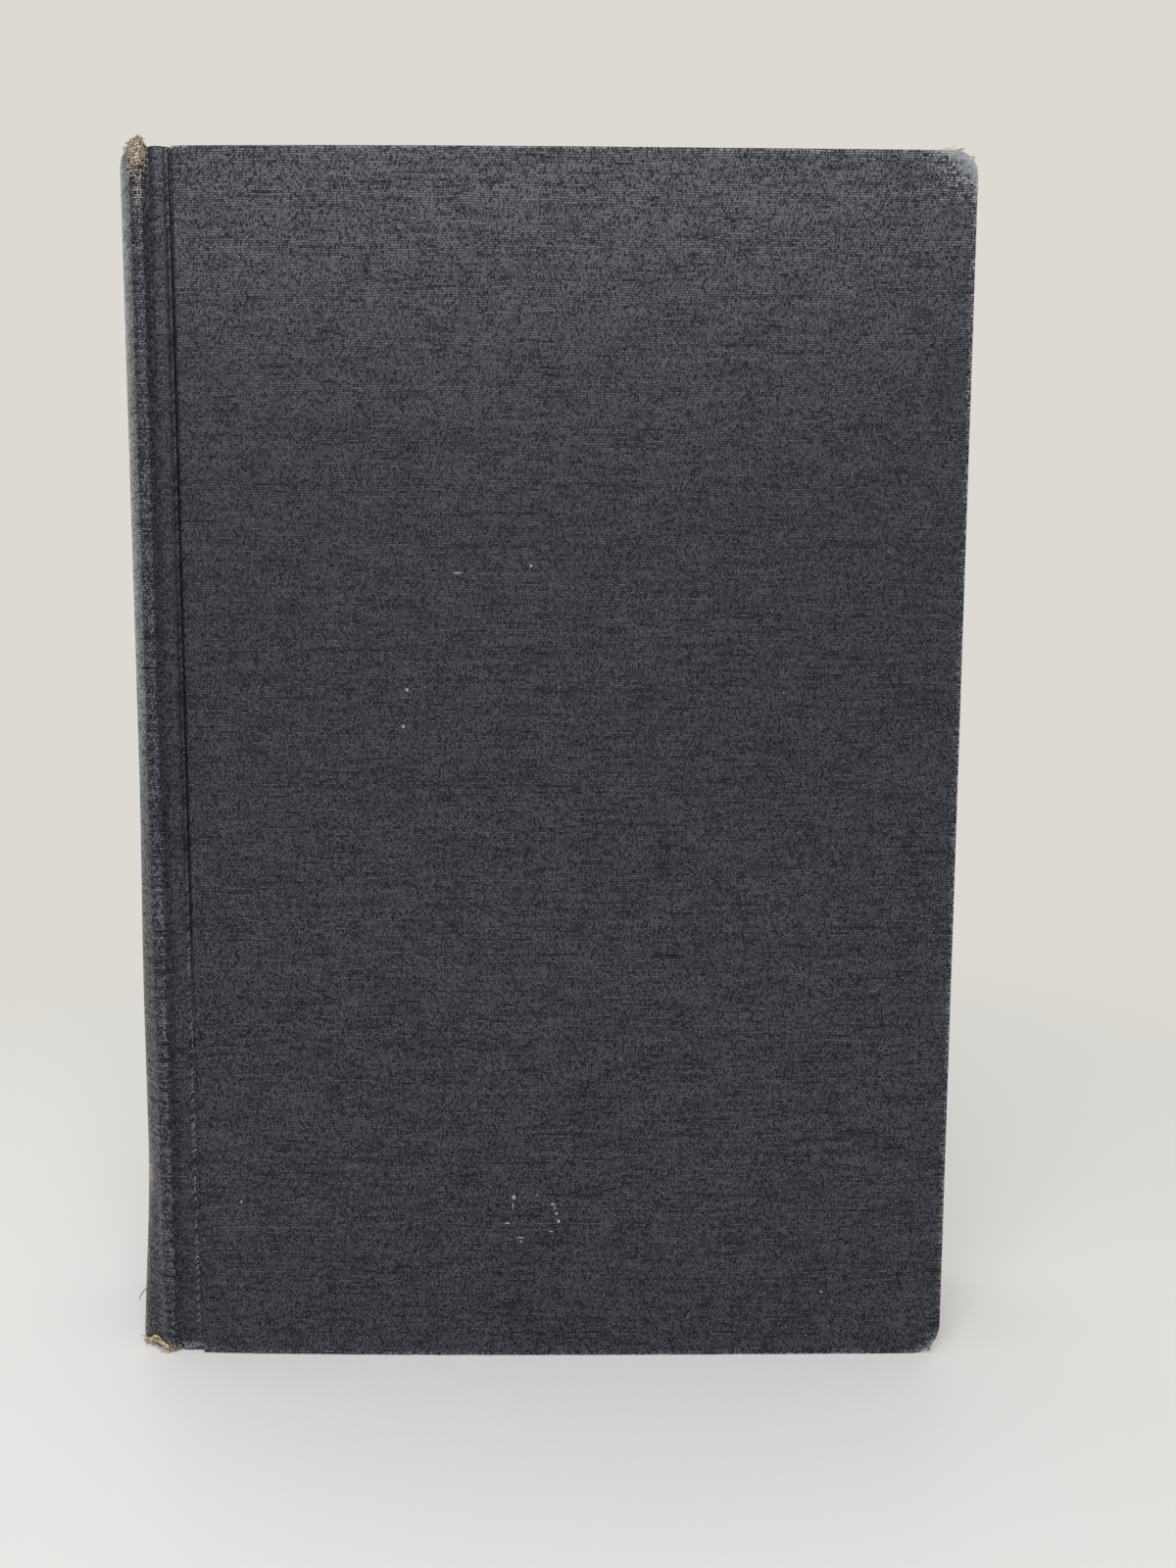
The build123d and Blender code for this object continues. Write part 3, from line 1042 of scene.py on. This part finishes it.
def leaf_place(share, along):
    """x and y of a leaf at a share of the block's thickness, from its spine at 0 to its fore-edge at 2."""
    if along < 1:
        end_y = share * tip_half
        end_x = spine_centre_x - math.sqrt(spine_radius**2 - end_y**2)
        fan = (1 - along) ** 2.2
        x = end_x + (shoulder_foot_x - end_x) * along
        return x, share * (block_half + (tip_half - block_half) * fan)
    y = share * block_half
    hollow = hollow_radius - math.sqrt(hollow_radius**2 - y**2)
    end_x = leaf_edge_x - fore_edge_hollow + hollow
    return shoulder_foot_x + (end_x - shoulder_foot_x) * (along - 1), y


print(f"{leaf_groups} groups of leaves, fore-edge hollowed to a radius of {hollow_radius:.1f} mm")

# %% The block's mesh
block_random = random.Random(11)
most_trim = 0.10
section_dip = 0.12


def text_block():
    steps = [i / 7 for i in range(8)] + [1 + i / 8 for i in range(1, 9)]
    trims = []
    for group in range(leaf_groups):
        deep = section_dip if group % groups_in_section == 0 else 0.0
        trims.append([block_random.uniform(0.0, most_trim) + deep for _ in range(3)])
    row = 2 * leaf_groups
    points, leaf, edge = [], [], []
    for along in steps:
        for at_head in (True, False):
            for group, (head_trim, tail_trim, fore_trim) in enumerate(trims):
                for side_of_group in (0, 1):
                    share = 2 * (group + side_of_group) / leaf_groups - 1
                    x, y = leaf_place(share, along)
                    x -= fore_trim * max(0.0, along - 1)
                    z = head_z - head_trim if at_head else tail_z + tail_trim
                    points.append((x, y, z))
                    leaf.append(share * leaves / 2)
                    edge.append((x, y * 3, z))
    faces = []
    for step in range(len(steps) - 1):
        here, there = 2 * row * step, 2 * row * (step + 1)
        for i in range(row - 1):
            faces.append((here + i, there + i, there + i + 1, here + i + 1))
            faces.append((here + row + i + 1, there + row + i + 1, there + row + i, here + row + i))
        for i in (0, row - 1):
            faces.append((here + i, here + row + i, there + row + i, there + i))
    for start in (0, 2 * row * (len(steps) - 1)):
        faces += [(start + i, start + i + 1, start + row + i + 1, start + row + i) for i in range(row - 1)]
    mesh = mesh_of("leaves", points, faces)
    put_values(mesh, "leaf", leaf)
    put_values(mesh, "edge", edge)
    piece = add_piece("leaves", mesh, leaf_finish)
    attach(piece, "block")
    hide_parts("text_block")


text_block()

# %% [markdown]
# ## Head and tail bands
# A band is a bead of thread worked over a core on a strip of tape, glued at each end of the spine. The bead
# could be a plain tube with a striped colour, but its turns of thread are coarse enough to see, so they are
# modelled: the tube's radius rises and falls once for each turn.

# %% Bands
band_radius = 0.85
thread_turn = 0.55
steps_in_turn = 5
turn_swell = 0.10
taper_steps = 4
blunt_end = 0.25
bead_sides = 10
bead_low, bead_high = node_box("head_band")
bead_half = bead_high.y
bead_path_radius = spine_centre_x - bead_low.x - band_radius


def band(name, end_z, direction):
    """Bead of a band along the spine's arc, its outer side at a height."""
    widest = math.asin(bead_half / bead_path_radius)
    length = 2 * widest * bead_path_radius
    count = round(length / thread_turn) * steps_in_turn
    points = []
    for step in range(count + 1):
        turn = widest * (2 * step / count - 1)
        swell = 1 + turn_swell * math.cos(2 * math.pi * step / steps_in_turn)
        taper = min(1.0, blunt_end + min(step, count - step) / taper_steps)
        for side in range(bead_sides):
            around = 2 * math.pi * side / bead_sides
            radius = band_radius * swell * taper
            reach = bead_path_radius + radius * math.cos(around)
            z = end_z - direction * (band_radius * 1.1 - radius * math.sin(around))
            points.append((spine_centre_x - reach * math.cos(turn), reach * math.sin(turn), z))
    faces = [tuple(range(bead_sides)), tuple(range(count * bead_sides, (count + 1) * bead_sides))]
    for step in range(count):
        for side in range(bead_sides):
            one, two = step * bead_sides + side, step * bead_sides + (side + 1) % bead_sides
            faces.append((one, two, two + bead_sides, one + bead_sides))
    piece = add_piece(name + "_bead", mesh_of(name + "_bead", points, faces), band_finish)
    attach(piece, "block")
    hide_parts(name)


band("head_band", bead_high.z, 1)
band("tail_band", node_box("tail_band")[0].z, -1)

# %% [markdown]
# ## Frayed threads
# Where cloth has worn through, its threads stand up. Each is a short curve with a round bevel: a few points
# that start on the cloth, head off in a given direction and curl as they go. The draws come from a seeded
# generator, so every run frays the book the same way. As a tuft's threads grow, they are held back to a hair
# past the covers' flat faces, because an opened cover would meet them there.

# %% Tufts of thread
fray_limit = half_depth + 0.15
thread_steps = 6
aim_scatter = 0.7
curl_share = 0.35


def add_thread(curve, points):
    thread = curve.splines.new("POLY")
    thread.points.add(len(points) - 1)
    for item, point in zip(thread.points, points):
        item.co = (*(Vector(point) * mm), 1.0)


def tuft(curve, draws, root, aim, count, length, spread, curl):
    """Adds a bunch of curling threads to a curve, rooted round a point."""
    for _ in range(count):
        start = Vector(root) + Vector([draws.uniform(-1, 1) * width for width in spread])
        heading = Vector(aim) + Vector([draws.uniform(-aim_scatter, aim_scatter) for _ in range(3)])
        turn = Vector([draws.uniform(-1, 1) for _ in range(3)]) * curl
        reach = length * draws.uniform(0.5, 1.2)
        points = [start]
        for _ in range(thread_steps):
            heading = (heading.normalized() + turn * curl_share).normalized()
            step = points[-1] + heading * reach / thread_steps
            step.y = min(max(step.y, -fray_limit), fray_limit)
            step.z = max(step.z, 0.1)
            points.append(step)
        add_thread(curve, points)


def thread_curve(name, thickness):
    curve = bpy.data.curves.new(name, "CURVE")
    curve.dimensions = "3D"
    curve.bevel_depth = thickness * mm
    curve.bevel_resolution = 1
    return curve


def add_fray(curve, body, finish):
    curve.materials.append(finish)
    piece = bpy.data.objects.new(curve.name, curve)
    bpy.context.scene.collection.objects.link(piece)
    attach(piece, body)
    print(f"{curve.name}: {len(curve.splines)} threads")


def fray(name, body, finish, tufts, thickness=0.05, seed=5):
    """Piece made of tufts, each given as root, aim, count, length, spread and curl."""
    curve = thread_curve(name, thickness)
    draws = random.Random(seed)
    for one in tufts:
        tuft(curve, draws, *one)
    add_fray(curve, body, finish)


# %% [markdown]
# The spine's ends wear most: the head where a finger hooks the book off the shelf, the tail where it stands.
# A helper gives the place, the outward direction and the direction onwards at any distance round the spine,
# so threads can be rooted along an edge instead of at points worked out by hand.

# %% Frayed ends of the spine


def spine_spot(run, z, out=0.0):
    """Place on the spine cloth at a distance round it, with the direction out of it and the one onwards."""
    nearest = min(range(len(spine_run)), key=lambda i: abs(spine_run[i] - run))
    normal = spine_out[nearest]
    place = spine_path[nearest] + normal * (out + flare(spine_path[nearest].y, z))
    return Vector((*place, z)), Vector((*normal, 0.0)), Vector((-normal.y, normal.x, 0.0))


head_tufts = []
for run in spaced(ridge_run - 1.0, ridge_run + 4.0, 0.5):
    place, out, _ = spine_spot(run, cover_height + ragged(run, cover_height) - 0.25)
    head_tufts.append((place, out * 0.2 + Vector((0, 0, 1)), 6, 0.5, (0.3, 0.25, 0.1), 0.9))
for height in (-0.6, -2.0, -3.4):
    for run in (ridge_run + 0.4, ridge_run + 1.8):
        place, out, onwards = spine_spot(run, cover_height + height, 0.02)
        head_tufts.append((place, onwards * 4 + out * 0.2, 3, 1.6, (0.6, 0.03, 0.6), 0.15))
fray("spine_head_fray", "block", fray_finish, head_tufts, 0.045)

tail_tufts = []
for run in spaced(ridge_run + 1.4, ridge_run + 7.9, 0.7):
    place, out, onwards = spine_spot(run, 0.8, 0.1)
    tail_tufts.append((place, out * 0.6 + onwards + Vector((0, 0, 0.3)), 4, 1.1, (0.2, 0.2, 0.5), 1.4))
fray("spine_tail_fray", "block", fray_finish, tail_tufts, 0.05, 8)

# %% Worn hem at the tail of the spine
hem_cords = ((0.05, 0.2, 0.0), (0.30, 0.6, 1.7), (0.12, 1.0, 3.1), (0.38, 1.3, 4.4))
hem_arch = 1.1
hem_start, hem_end = ridge_run + 1.1, ridge_run + 7.4


def tail_hem():
    """Cords of tan thread that show where the cloth's turned edge has worn through."""
    curve = thread_curve("spine_tail_hem", 0.2)
    for out, height, phase in hem_cords:
        points = []
        for run in spaced(hem_start, hem_end, 0.35):
            wave = 0.2 * math.sin(run * 2.3 + phase) + 0.15 * noise.noise((run * 1.3, phase, 0.0))
            wave += hem_arch * math.sin(math.pi * between(run, hem_start, hem_end))
            stand = out + 0.12 * math.sin(run * 3.1 + phase)
            place, _, _ = spine_spot(run, max(0.22, height + wave), stand)
            points.append(place)
        add_thread(curve, points)
    add_fray(curve, "block", hem_finish)


def loose_thread():
    """One dark thread that hangs off the spine near its tail."""
    root, out, _ = spine_spot(ridge_run + 9.8, 10.3)
    curve = thread_curve("spine_loose_thread", 0.09)
    drops = ((0.0, 0.0), (0.5, -0.25), (0.95, -0.8), (1.3, -1.5), (1.45, -2.0))
    add_thread(curve, [root + out * away + Vector((0, 0, drop)) for away, drop in drops])
    add_fray(curve, "block", dark_fray_finish)


tail_hem()
loose_thread()

# %% Frayed corners of the front cover
head_corner_tufts = (
    ((-6.5, 0.4, 0.05), (3.0, 0.0, 0.3), 7, 2.6, (1.2, 0.2, 0.1), 0.15),
    ((-9.0, 0.7, -0.1), (0.6, -0.3, 0.5), 10, 0.7, (3.0, 0.3, 0.1), 0.8),
    ((-1.0, 0.7, -1.4), (0.6, -0.3, 0.6), 12, 0.6, (0.4, 0.3, 0.4), 0.9),
    ((-0.2, 0.7, -5.0), (0.5, -0.3, 0.1), 8, 0.6, (0.1, 0.3, 1.6), 0.8),
)
tail_corner_tufts = (((-2.4, 0.8, 1.4), (0.5, -0.3, -0.5), 10, 0.9, (0.8, 0.4, 0.8), 0.9),)


def corner_fray(name, corner_z, finish, tufts, thickness):
    """Fray at a corner of the front cover, from tufts whose roots are measured from that corner."""
    placed = []
    for (x, y, z), *rest in tufts:
        placed.append(((fore_edge_x + x, -half_depth + y, corner_z + z), *rest))
    fray(name, "front_cover", finish, placed, thickness)


corner_fray("head_corner_fray", cover_height, fray_finish, head_corner_tufts, 0.045)
corner_fray("tail_corner_fray", 0.0, dark_fray_finish, tail_corner_tufts, 0.05)

# %% [markdown]
# ## Flecks on the front cover
# A few pale flecks of dried paste or paint sit on the cloth, and some of them still trace part of a ring
# where something was once stood on the book. A spot of colour in the material would look printed, so each
# fleck is a flake: a small ragged outline with a hair's thickness, laid on the cloth at a measured place.

# %% Pale flecks
lone_flecks = (
    (-25.1, 134.7, 0.42, 0.40), (-25.9, 127.7, 0.30, 0.34), (-15.3, 157.0, 0.85, 0.20),
    (-1.2, 158.4, 0.22, 0.26), (57.5, 13.3, 0.30, 0.25), (-59.4, 32.2, 0.26, 0.28),
)
ring_flecks = (
    (-4.7, 33.4, 0.38, 0.52), (-4.9, 31.5, 0.12, 0.80), (-6.1, 28.0, 0.70, 0.14), (-3.6, 25.0, 0.90, 0.15),
    (-3.3, 24.2, 0.26, 0.24), (3.1, 32.0, 0.45, 0.24), (3.5, 31.1, 0.16, 0.55), (3.8, 30.1, 0.24, 0.42),
    (4.3, 28.4, 0.34, 0.38), (2.7, 26.3, 0.55, 0.14), (-3.0, 34.4, 0.20, 0.18), (-0.1, 34.0, 0.18, 0.18),
)
fleck_corners = 9
fleck_sunk, fleck_proud = 0.03, 0.03


def pale_flecks():
    draws = random.Random(3)
    points, faces = [], []
    for x, z, wide, tall in lone_flecks + ring_flecks:
        rim = []
        for corner in range(fleck_corners):
            turn = 2 * math.pi * corner / fleck_corners
            reach = draws.uniform(0.55, 1.15)
            rim.append((x + wide * reach * math.cos(turn), z + tall * reach * math.sin(turn)))
        start = len(points)
        for depth in (-fleck_proud, fleck_sunk):
            points += [on_cover(FRONT, rim_x, depth, rim_z) for rim_x, rim_z in rim]
        top = range(start, start + fleck_corners)
        faces.append(tuple(top))
        faces.append(tuple(point + fleck_corners for point in reversed(top)))
        for one, two in zip(top, [*top[1:], top[0]]):
            faces.append((one, two, two + fleck_corners, one + fleck_corners))
    piece = add_piece("pale_flecks", mesh_of("pale_flecks", points, faces), fleck_finish)
    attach(piece, "front_cover")


pale_flecks()

# %% [markdown]
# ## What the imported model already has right
# The free endpaper leaves, the gauze and the paper on the block's spine have the right shape as they are.
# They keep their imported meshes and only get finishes.

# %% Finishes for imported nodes
node_finishes = {
    "front_flyleaf": endpaper_finish,
    "back_flyleaf": endpaper_finish,
    "spine_mull": gauze_finish,
    "spine_lining": lining_finish,
}
for node, finish in node_finishes.items():
    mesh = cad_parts[node].data
    mesh.materials.clear()
    mesh.materials.append(finish)
print("packed nodes kept:", sorted(node_finishes))

# %% [markdown]
# ## Floor, light and camera
# The book stands on a pale floor under three soft lamps. A wide one above and in front of the cover gives
# the cloth its shine towards the head, a weaker one behind and to the side lights the spine, one overhead
# lights the floor, and the pale world fills the shadows. A lit room could do the same, but lamps are easier
# to balance one by one. The camera is close, as a phone's is, a little above the middle of the book's height
# and tipped slightly down.

# %% Floor and world
floor_size = 6.0
floor_fade = (0.06, 0.40)
world_light = 0.3
world_colour = (0.72, 0.70, 0.65)


def pale_floor():
    finish = Finish("pale_floor")
    place = finish.add("TexCoord", {}, output=3)
    colour = finish.blend(finish.cloud(place, 3.0), (0.765, 0.76, 0.745), (0.795, 0.79, 0.775))
    material = finish.coat(colour, 0.4, 0.2)
    away = finish.add("VectorMath", {0: place}, output=1, operation="LENGTH")
    seen = finish.add("LightPath", {}, output="Is Camera Ray")
    share = finish.sum("MULTIPLY", finish.ease(away, *floor_fade), seen)
    far = finish.add("Emission", {"Color": world_colour, "Strength": 1.0})
    mixed = finish.add("MixShader", {0: share, 1: finish.surface.outputs[0], 2: far})
    finish.feed(finish.tree.nodes["Material Output"].inputs["Surface"], mixed)
    half = floor_size / 2
    mesh = bpy.data.meshes.new("floor")
    corners = [(-half, -half, 0), (half, -half, 0), (half, half, 0), (-half, half, 0)]
    mesh.from_pydata(corners, [], [(0, 1, 2, 3)])
    mesh.materials.append(material)
    floor = bpy.data.objects.new("floor", mesh)
    bpy.context.scene.collection.objects.link(floor)


def pale_world():
    """Even light from all round, and a warm pale backdrop for the camera and for shine from behind."""
    world = bpy.data.worlds.new("studio")
    bpy.context.scene.world = world
    world.use_nodes = True
    tree = world.node_tree
    lit = tree.nodes["Background"]
    lit.inputs["Color"].default_value = (1.0, 1.0, 1.0, 1.0)
    lit.inputs["Strength"].default_value = world_light
    seen = tree.nodes.new("ShaderNodeBackground")
    seen.inputs["Color"].default_value = (*world_colour, 1.0)
    path = tree.nodes.new("ShaderNodeLightPath")
    way = tree.nodes.new("ShaderNodeTexCoord")
    axes = tree.nodes.new("ShaderNodeSeparateXYZ")
    behind = tree.nodes.new("ShaderNodeMapRange")
    shown = tree.nodes.new("ShaderNodeMath")
    shown.operation = "MULTIPLY_ADD"
    mix = tree.nodes.new("ShaderNodeMixShader")
    tree.links.new(way.outputs["Generated"], axes.inputs[0])
    tree.links.new(axes.outputs[1], behind.inputs[0])
    tree.links.new(behind.outputs[0], shown.inputs[0])
    tree.links.new(path.outputs["Is Glossy Ray"], shown.inputs[1])
    tree.links.new(path.outputs["Is Camera Ray"], shown.inputs[2])
    tree.links.new(shown.outputs[0], mix.inputs[0])
    tree.links.new(lit.outputs[0], mix.inputs[1])
    tree.links.new(seen.outputs[0], mix.inputs[2])
    tree.links.new(mix.outputs[0], tree.nodes["World Output"].inputs["Surface"])


pale_floor()
pale_world()
print(f"floor {floor_size:.0f} m square, world at a strength of {world_light}")

# %% Lamps and camera
softboxes = {
    "front_softbox": ((-0.05, -0.78, 0.66), 1.0, 0.38, 7.5),
    "side_softbox": ((-0.75, 0.55, 0.40), 1.0, 0.8, 1.6),
    "top_softbox": ((0.0, -0.1, 0.95), 0.8, 0.8, 3.4),
}
lamp_aim = Vector((0.0, 0.0, 0.14))
camera_place = Vector((8.2, -244.9, 138.1)) * mm
camera_pitch, camera_yaw, camera_roll = (math.radians(angle) for angle in (5.39, 0.38, -0.23))
lens = 27.0


def soft_lamp(name, place, wide, tall, power):
    lamp = bpy.data.lights.new(name, "AREA")
    lamp.shape = "RECTANGLE"
    lamp.size, lamp.size_y = wide, tall
    lamp.energy = power
    holder = bpy.data.objects.new(name, lamp)
    holder.location = place
    holder.rotation_euler = (lamp_aim - Vector(place)).to_track_quat("-Z", "Y").to_euler()
    bpy.context.scene.collection.objects.link(holder)


def front_camera():
    camera = bpy.data.cameras.new("camera")
    camera.lens = lens
    camera.sensor_width = 36.0
    camera.clip_start = 0.01
    holder = bpy.data.objects.new("camera", camera)
    holder.location = camera_place
    holder.rotation_euler = (math.pi / 2 - camera_pitch, camera_roll, -camera_yaw)
    bpy.context.scene.collection.objects.link(holder)
    bpy.context.scene.camera = holder


for name, settings in softboxes.items():
    soft_lamp(name, *settings)
front_camera()
bpy.context.scene.view_settings.view_transform = "Standard"
print("lamps:", list(softboxes), "lens:", lens)
